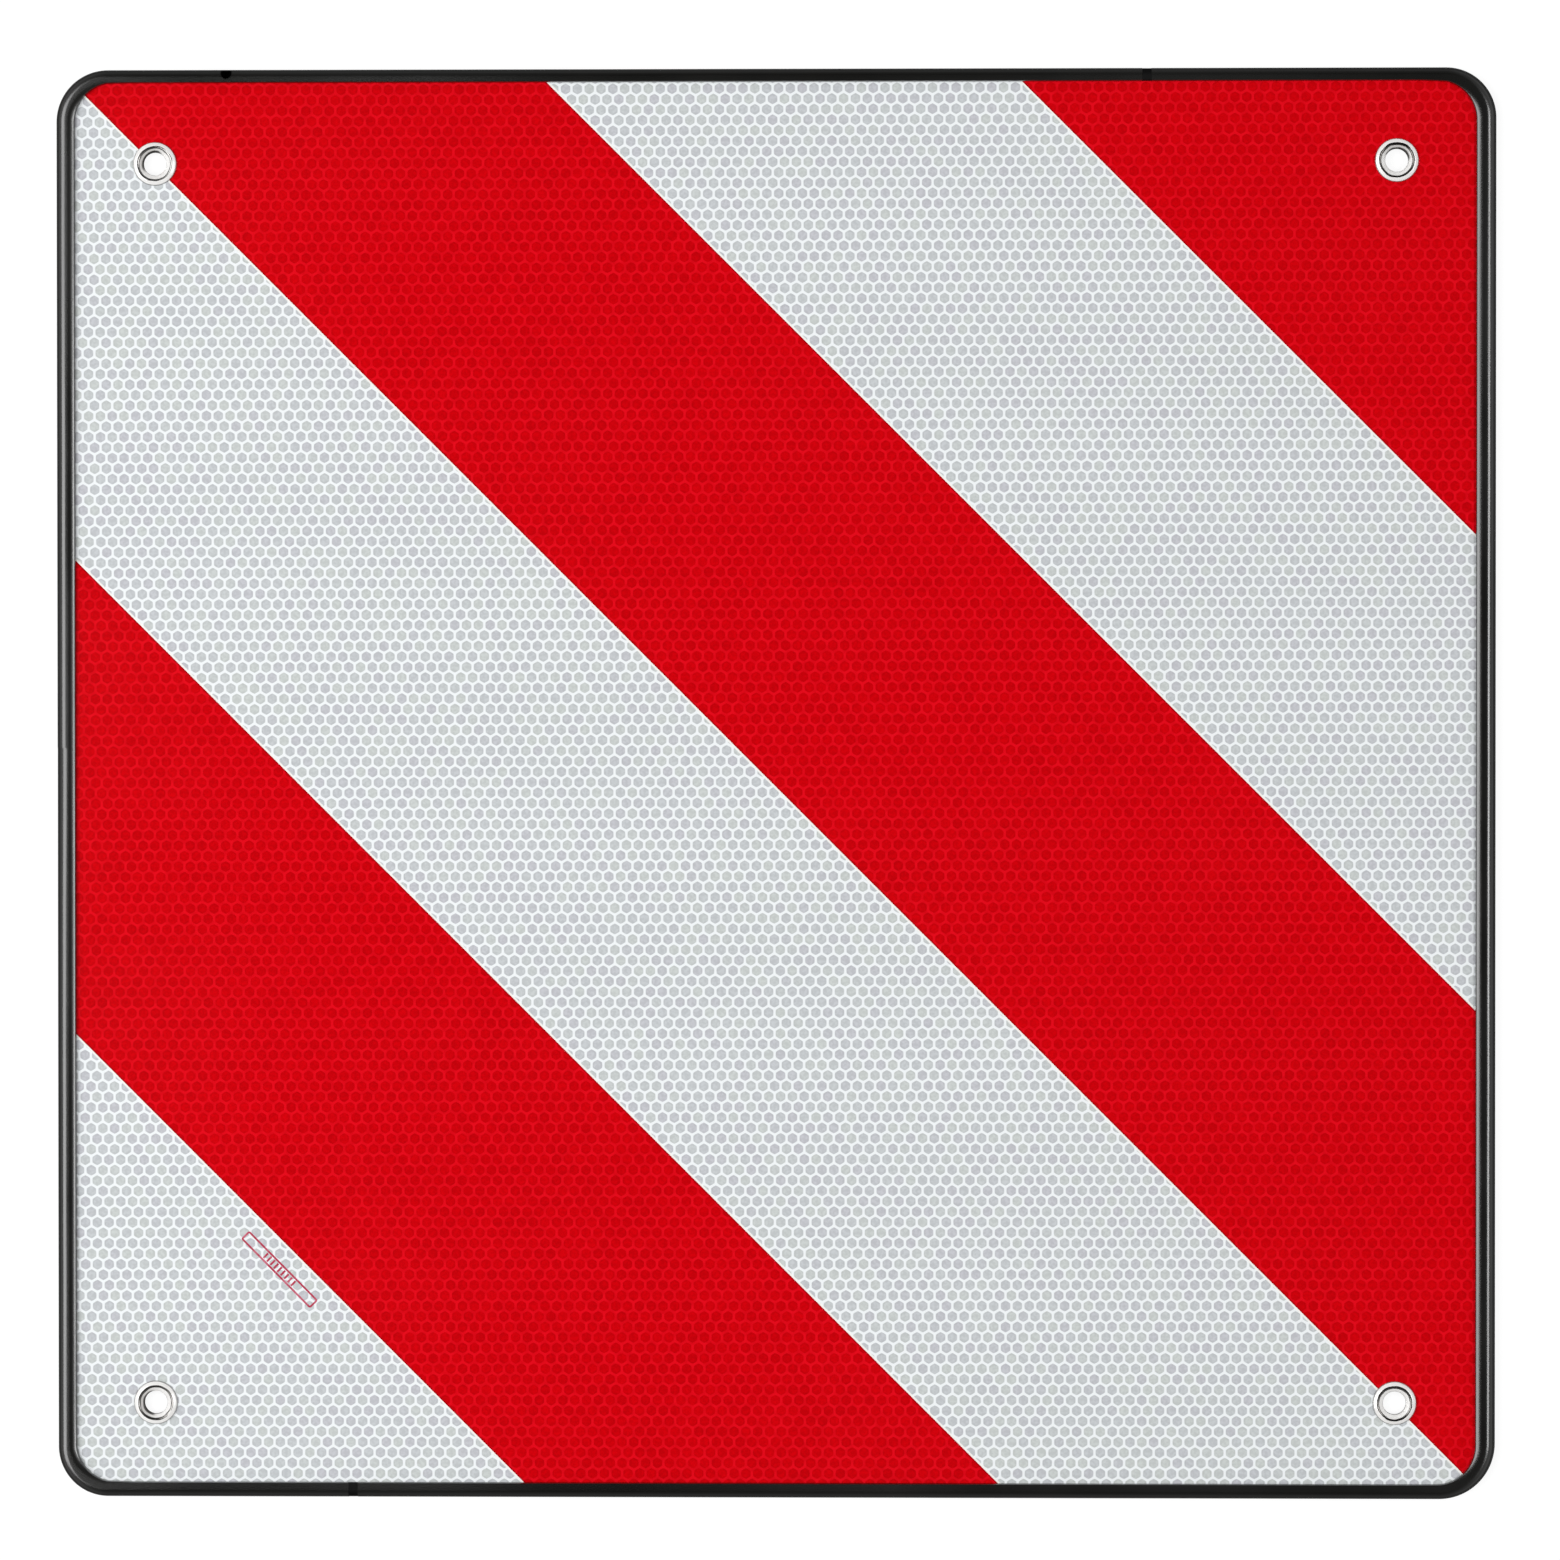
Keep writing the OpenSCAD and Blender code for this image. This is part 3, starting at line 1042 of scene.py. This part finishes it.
@dataclass
class EdgeTrim:
    """Soft U-shaped trim round the sheet, in three lengths that meet at three joints."""

    width: float = 500.0
    height: float = 496.6
    corners: tuple[float, float, float, float] = (18.0, 17.4, 17.4, 19.4)
    thickness: float = 5.6
    sheet_back: float = 2.1
    film_face: float = 3.5
    wall: float = 1.6
    lips: dict[Side, float] = field(
        default_factory=lambda: {Side.LEFT: 6.55, Side.RIGHT: 7.0, Side.TOP: 4.6, Side.BOTTOM: 5.2}
    )
    lip_back: float = 6.4
    window_corner: float = 13.6
    back_corner: float = 13.0
    shoulders: dict[Side, float] = field(
        default_factory=lambda: {Side.LEFT: 3.3, Side.RIGHT: 3.5, Side.TOP: 2.8, Side.BOTTOM: 2.8}
    )
    falls: dict[Side, float] = field(
        default_factory=lambda: {Side.LEFT: 2.7, Side.RIGHT: 2.8, Side.TOP: 1.4, Side.BOTTOM: 1.4}
    )
    curves: dict[Side, float] = field(
        default_factory=lambda: {Side.LEFT: 5.5, Side.RIGHT: 6.2, Side.TOP: 5.0, Side.BOTTOM: 5.0}
    )
    lip_end: float = 0.35
    back_shoulder: float = 1.8
    back_round: float = 1.3
    top_joint: float = 129.0
    bottom_joint: float = -147.0
    left_joint: float = 12.6
    gap: float = 3.2
    sink: float = 0.08
    slumped_shoulder: float = 3.75
    slump_length: float = 90.0
    step: float = 9.0
    corner_steps: int = 26
    nick_at: float = -190.6
    nick_width: float = 4.2
    nick_slit: float = 1.7
    nick_reach: float = 3.1
    nick_depth: float = 0.9
    nick_step: float = 0.25

    def window(self) -> RoundedRect:
        """Opening in the front lip."""
        width = self.width - self.lips[Side.LEFT] - self.lips[Side.RIGHT]
        height = self.height - self.lips[Side.TOP] - self.lips[Side.BOTTOM]
        x = (self.lips[Side.LEFT] - self.lips[Side.RIGHT]) / 2
        y = (self.lips[Side.BOTTOM] - self.lips[Side.TOP]) / 2
        return RoundedRect(width, height, self.window_corner, (x, y))

    def back_opening(self) -> RoundedRect:
        """Opening in the back lip."""
        return RoundedRect(self.width - 2 * self.lip_back, self.height - 2 * self.lip_back, self.back_corner)

    def corner_arc(self, across: int, along: int) -> tuple[Vector, float]:
        """Middle and radius of one corner's arc.

        Args:
            across: 1 for a right corner, -1 for a left one.
            along: 1 for a top corner, -1 for a bottom one.

        Returns:
            The middle and the radius.
        """
        radius = self.corners[(0 if along > 0 else 2) + (1 if across > 0 else 0)]
        return Vector((across * (self.width / 2 - radius), along * (self.height / 2 - radius))), radius

    def route(self, corners: Sequence[tuple[int, int]], start: Point, end: Point) -> list[Station]:
        """Stations along the edge from one joint to another, anticlockwise.

        Args:
            corners: The corners on the way, each as its signs across and along.
            start: Where the length begins on the edge.
            end: Where it ends on the edge.

        Returns:
            The stations in order.
        """
        stops: list[tuple[Vector, Vector]] = []
        spot = Vector(start)
        for signs in corners:
            middle, radius = self.corner_arc(*signs)
            outward = self.outward_at(spot)
            first = middle + outward * radius
            stops += self.straight(spot, first, outward)
            facing = math.degrees(math.atan2(outward.y, outward.x))
            for place in arc((middle.x, middle.y), radius, facing, facing + 90, self.corner_steps)[:-1]:
                out = (Vector(place) - middle).normalized()
                stops.append((Vector(place), out))
            outward = Vector((-outward.y, outward.x))
            spot = middle + outward * radius
        stops += self.straight(spot, Vector(end), self.outward_at(Vector(end)))
        stops.append((Vector(end), self.outward_at(Vector(end))))
        stations, travelled = [], 0.0
        for number, (place, outward) in enumerate(stops):
            if number:
                travelled += (place - stops[number - 1][0]).length
            stations.append(Station(place, -outward, travelled))
        return stations

    def straight(self, start: Vector, end: Vector, outward: Vector) -> Iterator[tuple[Vector, Vector]]:
        """Stops from the start of a straight run up to, and without, its end, close together at the nick."""
        run = end - start
        count = max(1, round(run.length / self.step))
        shares = [number / count for number in range(count)]
        if outward.y > 0.5 and min(start.x, end.x) < self.nick_at < max(start.x, end.x):
            middle = (self.nick_at - start.x) / run.x
            shares += [middle + self.nick_step * number / run.length for number in range(-10, 11)]
        for share in sorted(shares):
            yield start.lerp(end, share), outward

    def nicked(self, station: Station, inset: float, level: float) -> float:
        """Lowers a point of the front face that lies in the nick of the top length.

        Args:
            station: The point's place on the edge.
            inset: Its distance in from the edge.
            level: Its height.

        Returns:
            The height it ends up at.
        """
        flare = max(0.0, 1 - 1.5 * inset / self.nick_reach)
        half = (self.nick_slit + (self.nick_width - self.nick_slit) * flare) / 2
        in_plan = inset < self.nick_reach and abs(station.edge.x - self.nick_at) < half
        if in_plan and station.inward.y < -0.5 and level > self.thickness / 2:
            return min(level, self.thickness - self.nick_depth)
        return level

    def outward_at(self, spot: Vector) -> Vector:
        """Outward direction of the side that a point on a straight run lies on."""
        if abs(abs(spot.x) - self.width / 2) < 0.01:
            return Vector((math.copysign(1, spot.x), 0))
        return Vector((0, math.copysign(1, spot.y)))

    @staticmethod
    def by_side(levels: dict[Side, float], outward: Vector) -> float:
        """Level for a direction, from the levels of the sides that it leans to."""
        across = levels[Side.RIGHT if outward.x > 0 else Side.LEFT]
        along = levels[Side.TOP if outward.y > 0 else Side.BOTTOM]
        return across * outward.x**2 + along * outward.y**2

    def section(self, front: float, back: float, shoulder: float, fall: float, curve: float) -> list[Point]:
        """The trim's U, as distance in from the board's edge and height.

        Args:
            front: Width of the front lip.
            back: Width of the back lip.
            shoulder: Radius of the outer front edge.
            fall: Width over which the front lip falls towards the film.
            curve: Radius of that fall.

        Returns:
            The closed outline's points.
        """
        top, edge, low = self.thickness, self.back_round, self.back_shoulder
        outline = arc((back - edge, edge), edge, 0, -90, 8)
        outline += arc((low, low), low, 270, 180, 10)
        outline += arc((shoulder, top - shoulder), shoulder, 180, 90, 18)
        run = fall - self.lip_end
        outline += [(front - fall + run * i / 12, top - (run * i / 12) ** 2 / (2 * curve)) for i in range(13)]
        end = outline[-1][1] - self.film_face - 0.05
        outline += arc((front - self.lip_end, self.film_face + 0.05), self.lip_end, 90, 0, 8, end)[1:]
        outline += [(front, self.film_face), (self.wall, self.film_face)]
        outline += [(self.wall, self.sheet_back), (back, self.sheet_back)]
        return outline

    def length(
        self,
        name: str,
        node: str,
        stations: list[Station],
        finish: Finish = TRIM_RUBBER,
        sink: float = 0.0,
        slumped: bool = False,
    ) -> None:
        """Sweeps one length of trim or of the sealant in a joint.

        Args:
            name: The piece's name.
            node: The frame node that it stands for.
            stations: The places that it runs through.
            finish: Its finish.
            sink: How far it lies below the trim's surface.
            slumped: Whether its first end sits a little rounder than the rest.
        """
        window, opening = self.window(), self.back_opening()
        points: list[tuple[float, float, float]] = []
        for station in stations:
            front = window.reach_from(station.edge, station.inward) - 2 * sink
            back = opening.reach_from(station.edge, station.inward)
            shoulder = self.by_side(self.shoulders, -station.inward)
            fall = self.by_side(self.falls, -station.inward)
            curve = self.by_side(self.curves, -station.inward)
            if slumped:
                fade = max(0.0, 1 - station.travelled / self.slump_length)
                shoulder += (self.slumped_shoulder - shoulder) * fade
            wave = 0.035 * math.sin(station.travelled / 11.0) * math.sin(station.travelled / 37.0)
            for inset, level in self.section(front, back, shoulder + wave, fall, curve):
                middle = self.thickness / 2
                spot = station.edge + station.inward * (sink + inset)
                height = self.nicked(station, inset, level)
                points.append((spot.x, spot.y, middle + (height - middle) * (1 - sink / middle)))
        size = len(points) // len(stations)
        faces = list(closed_strip(len(stations), size, False))
        faces.append(tuple(reversed(range(size))))
        faces.append(tuple(range(len(points) - size, len(points))))
        piece = new_piece(name, points, faces, finish)
        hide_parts(node)

    def build(self, frame: dict) -> None:
        """Builds the three lengths and dresses the sealant in the two open joints.

        Args:
            frame: The loaded frame; not used.
        """
        left, top, bottom = -self.width / 2, self.height / 2, -self.height / 2
        half = self.gap / 2
        upper, lower = (self.top_joint, top), (self.bottom_joint, bottom)
        self.length(
            "trim_right",
            "edge_trim_right",
            self.route([(1, -1), (1, 1)], (lower[0] + half, bottom), (upper[0] + half, top)),
        )
        self.length(
            "trim_upper_left",
            "edge_trim_upper_left",
            self.route([(-1, 1)], (upper[0] - half, top), (left, self.left_joint)),
        )
        self.length(
            "trim_lower_left",
            "edge_trim_lower_left",
            self.route([(-1, -1)], (left, self.left_joint), (lower[0] - half, bottom)),
            slumped=True,
        )
        for name, (x, y), way in (("top", upper, 1), ("bottom", lower, -1)):
            stations = self.route([], (x + way * half, y), (x - way * half, y))
            self.length(f"sealant_{name}", f"joint_filler_{name}", stations, SEALANT, self.sink)


@dataclass
class Eyelets:
    """Four one-piece eyelets, each with a washer at the back of the sheet."""

    centres: dict[str, Point] = field(
        default_factory=lambda: {
            "top_left": (-215.6, 215.7),
            "top_right": (215.5, 216.2),
            "bottom_left": (-215.9, -215.5),
            "bottom_right": (215.1, -214.9),
        }
    )
    # Painted shade of each eyelet: the side that its painted shade lies on, and the strengths of its painted dark
    # reflection ring and of the painted shade at its hole.
    painted_shading: dict[str, tuple[float, float, float]] = field(
        default_factory=lambda: {
            "top_left": (135.0, 0.75, 0.85),
            "top_right": (80.0, 0.95, 0.85),
            "bottom_left": (185.0, 0.85, 0.8),
            "bottom_right": (75.0, 0.9, 0.1),
        }
    )
    bore: float = 4.0
    flange: float = 7.6
    crest_at: float = 6.05
    crest: float = 4.85
    crest_round: float = 0.95
    fall_angle: float = 33.0
    flange_angle: float = 23.0
    film_face: float = 3.5
    washer_back: float = 1.6
    metal: float = 0.45
    roll: float = 1.1
    turns: int = 112

    def section(self) -> list[Point]:
        """Closed outline of the metal, as radius and height.

        Returns:
            The outline's points, front face first.
        """
        rim, turn, slope = self.film_face, math.radians(self.fall_angle), math.radians(self.flange_angle)
        width, drop = self.crest_round * math.sin(turn), self.crest_round * (1 - math.cos(turn))
        start = self.crest_at + self.crest_round * math.sin(slope)
        begin = self.crest - self.crest_round * (1 - math.cos(slope))
        upper = self.smoothed([
            (self.flange, rim + 0.02),
            (self.flange, rim + 0.3),
            (self.flange - 0.1, rim + 0.52),
            (self.flange - 0.3, begin - (self.flange - 0.3 - start) * math.tan(slope) - 0.05),
            (start, begin),
        ])
        crown = (self.crest_at, self.crest - self.crest_round)
        upper += arc(crown, self.crest_round, 90 - self.flange_angle, 90 + self.fall_angle, 16)[1:]
        foot = self.bore + 0.25
        level = self.crest - drop - (self.crest_at - width - foot) * math.tan(turn)
        upper += self.smoothed([
            (self.crest_at - width - 0.05, self.crest - drop - 0.033),
            (foot, level),
            (self.bore + 0.05, level - 0.28),
            (self.bore, level - 0.65),
            (self.bore, rim - 0.9),
        ])
        rolled = arc((self.bore + self.roll, self.washer_back), self.roll, 180, 360, 18)
        inner_roll = arc((self.bore + self.roll, self.washer_back), self.roll - self.metal, 360, 180, 14)
        under = [
            (self.bore + self.metal, rim - 0.3),
            (self.bore + self.metal + 0.35, rim + 0.15),
            (self.crest_at - 0.3, self.crest - 0.55),
            (self.crest_at + 0.3, self.crest - 0.55),
            (self.flange - 0.6, rim + 0.25),
            (self.flange - 0.3, rim + 0.02),
        ]
        return upper + rolled + inner_roll + under

    @staticmethod
    def smoothed(points: list[Point], rounds: int = 2) -> list[Point]:
        """Cuts the corners of an open line.

        Args:
            points: The line's points.
            rounds: How often its corners are cut.

        Returns:
            A smoother line with the same ends.
        """
        for _ in range(rounds):
            cut = [points[0]]
            for (ax, ay), (bx, by) in zip(points, points[1:]):
                cut += [(0.75 * ax + 0.25 * bx, 0.75 * ay + 0.25 * by), (0.25 * ax + 0.75 * bx, 0.25 * ay + 0.75 * by)]
            points = cut + [points[-1]]
        return points

    def build(self, frame: dict) -> None:
        """Turns the four eyelets and dresses their washers.

        Args:
            frame: The loaded frame.
        """
        outline = self.section()
        for number, (corner, centre) in enumerate(self.centres.items()):
            points = []
            for turn in range(self.turns):
                angle = 2 * math.pi * turn / self.turns
                for radius, level in outline:
                    dent = self.dent(angle, radius, level, number)
                    points.append((
                        centre[0] + (radius + dent) * math.cos(angle),
                        centre[1] + (radius + dent) * math.sin(angle),
                        level,
                    ))
            faces = list(closed_strip(self.turns, len(outline), True))
            piece = new_piece(f"eyelet_metal_{corner}", points, faces, self.finish(corner), 50.0)
            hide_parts(f"eyelet_{corner}")
            dress_node(frame, f"washer_{corner}", NICKEL)

    def finish(self, corner: str) -> EyeletFinish:
        """Metal of one eyelet, with its own shaded side and painted shade.

        Args:
            corner: Which corner of the board it sits in.

        Returns:
            The finish.
        """
        shaded_side, ring, lip = self.painted_shading[corner]
        return EyeletFinish(
            name=f"set_nickel_{corner}",
            slot=NICKEL.slot,
            metal=NICKEL,
            centre=self.centres[corner],
            shaded_side=shaded_side,
            ring=ring,
            lip=lip,
            # dark is the colour of the painted dark reflection ring, the painted lip shade and the painted edge shadow;
            # shaded is the painted shade in the funnel.
            dark=srgb(62, 58, 54),
            shaded=srgb(205, 202, 199),
        )

    def dent(self, angle: float, radius: float, level: float, number: int) -> float:
        """Slight unevenness that the setting tool leaves in the flange.

        Args:
            angle: Place round the eyelet.
            radius: Radius of the point; not used.
            level: Its height.
            number: Which eyelet it is.

        Returns:
            How far the point moves outward, in millimetres.
        """
        if level < self.film_face:
            return 0.0
        phase = 1.7 * number
        share = (level - self.film_face) / (self.crest - self.film_face)
        wave = 0.5 * math.sin(2 * angle + phase) + 0.3 * math.sin(5 * angle + 2.3 * phase)
        return 0.05 * share * wave


@dataclass
class Studio:
    """Camera, soft boxes, light tent and pale floor."""

    distance: float = 2500.0
    tilt: tuple[float, float, float] = (0.8594, -1.3303, 0.0157)
    shift: tuple[float, float] = (-1.673, -1.423)
    lens: float = 165.8
    floor_size: float = 60.0

    def aim_camera(self) -> None:
        """Sets a long lens straight above the board, leaning as the photograph's does."""
        about_x, about_y, about_z = (math.radians(a) for a in self.tilt)
        turned = Matrix.Rotation(about_z, 3, "Z") @ Matrix.Rotation(about_x, 3, "X") @ Matrix.Rotation(about_y, 3, "Y")
        stand = turned.transposed() @ Vector((-self.shift[0], -self.shift[1], self.distance)) * MM
        data = bpy.data.cameras.new("portrait_camera")
        data.lens = self.lens
        data.sensor_width = 36.0
        data.clip_start = 0.05
        data.clip_end = 200.0
        camera = bpy.data.objects.new("portrait_camera", data)
        camera.matrix_world = Matrix.Translation(stand) @ turned.transposed().to_4x4()
        bpy.context.scene.collection.objects.link(camera)
        bpy.context.scene.camera = camera

    def soft_box(
        self, name: str, lean: float, turn: float, distance: float, size: tuple[float, float], power: float
    ) -> None:
        """Hangs a soft box that faces the board.

        Args:
            name: The lamp's name.
            lean: Angle from straight above, in degrees.
            turn: Direction round the board, in degrees from its right side.
            distance: Distance from the board, in metres.
            size: Size across the lean and along it, in metres.
            power: Its power in watts.
        """
        data = bpy.data.lights.new(name, "AREA")
        data.shape = "RECTANGLE"
        data.size, data.size_y = size
        data.energy = power
        lamp = bpy.data.objects.new(name, data)
        out, about = math.radians(lean), math.radians(turn)
        away = Vector((math.sin(out) * math.cos(about), math.sin(out) * math.sin(about), math.cos(out)))
        side = Vector((-math.sin(about), math.cos(about), 0.0))
        up = away.cross(side)
        lamp.matrix_world = Matrix.Translation(away * distance) @ Matrix((side, up, away)).transposed().to_4x4()
        lamp.visible_camera = False
        bpy.context.scene.collection.objects.link(lamp)

    def light_tent(self) -> None:
        """Makes the world a soft tent: dim straight above, brighter towards its sides."""
        world = bpy.data.worlds.new("light_tent")
        bpy.context.scene.world = world
        world.use_nodes = True
        nodes = Nodes(world.node_tree)
        across, along, _ = nodes.parts(nodes.add("ShaderNodeTexCoord", {}).outputs["Generated"])
        stretched = nodes.join(nodes.maths("DIVIDE", across, 0.36), nodes.maths("DIVIDE", along, 0.6))
        around = nodes.vector("LENGTH", stretched).outputs["Value"]
        sideways = nodes.maths("MULTIPLY_ADD", nodes.maths("ABSOLUTE", across), 0.42, 0.05)
        mid = nodes.maths("MULTIPLY", nodes.ramp(around, 0.85, 1.25), sideways)
        lean = nodes.vector("LENGTH", nodes.join(across, along)).outputs["Value"]
        level = nodes.maths("ADD", nodes.maths("ADD", mid, nodes.ramp(lean, 0.86, 0.93, 0.0, 0.12)), 0.02)
        path = nodes.add("ShaderNodeLightPath", {}).outputs
        strength = nodes.maths("MAXIMUM", level, path["Is Camera Ray"])
        background = world.node_tree.nodes["Background"]
        background.inputs["Color"].default_value = (1.0, 1.0, 1.0, 1.0)
        nodes.give(background.inputs["Strength"], strength)

    def floor(self) -> None:
        """Lays a pale floor that reads white and keeps the board's soft shadow."""
        material = bpy.data.materials.new("pale_floor")
        material.use_nodes = True
        tree = material.node_tree
        nodes = Nodes(tree)
        shader = tree.nodes["Principled BSDF"]
        path = nodes.add("ShaderNodeLightPath", {}).outputs
        shader.inputs["Base Color"].default_value = (0.18, 0.18, 0.18, 1.0)
        shader.inputs["Roughness"].default_value = 0.9
        shader.inputs["Specular IOR Level"].default_value = 0.0
        shader.inputs["Emission Color"].default_value = (1.0, 1.0, 1.0, 1.0)
        nodes.give(shader.inputs["Emission Strength"], nodes.maths("MULTIPLY", path["Is Camera Ray"], 0.88))
        half = self.floor_size / 2
        mesh = bpy.data.meshes.new("floor")
        mesh.from_pydata([(-half, -half, 0), (half, -half, 0), (half, half, 0), (-half, half, 0)], [], [(0, 1, 2, 3)])
        mesh.materials.append(material)
        plane = bpy.data.objects.new("floor", mesh)
        plane.location.z = -0.02 * MM
        bpy.context.scene.collection.objects.link(plane)

    def build(self) -> None:
        """Sets up the whole studio."""
        bpy.context.scene.view_settings.view_transform = "Standard"
        self.aim_camera()
        self.light_tent()
        self.soft_box("left_soft_box", 37.0, 180.0, 2.5, (2.0, 1.6), 45.1)
        self.soft_box("right_strip", 36.0, 0.0, 3.6, (1.6, 0.9), 38.2)
        self.floor()


def main() -> None:
    """Builds the sub-assemblies in order."""
    logging.basicConfig(level=logging.INFO, format="%(name)s: %(message)s")
    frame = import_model()
    Studio().build()
    board = Board()
    board.dress(frame)
    board.build_print()
    EdgeTrim().build(frame)
    Eyelets().build(frame)


if __name__ == "__main__":
    main()
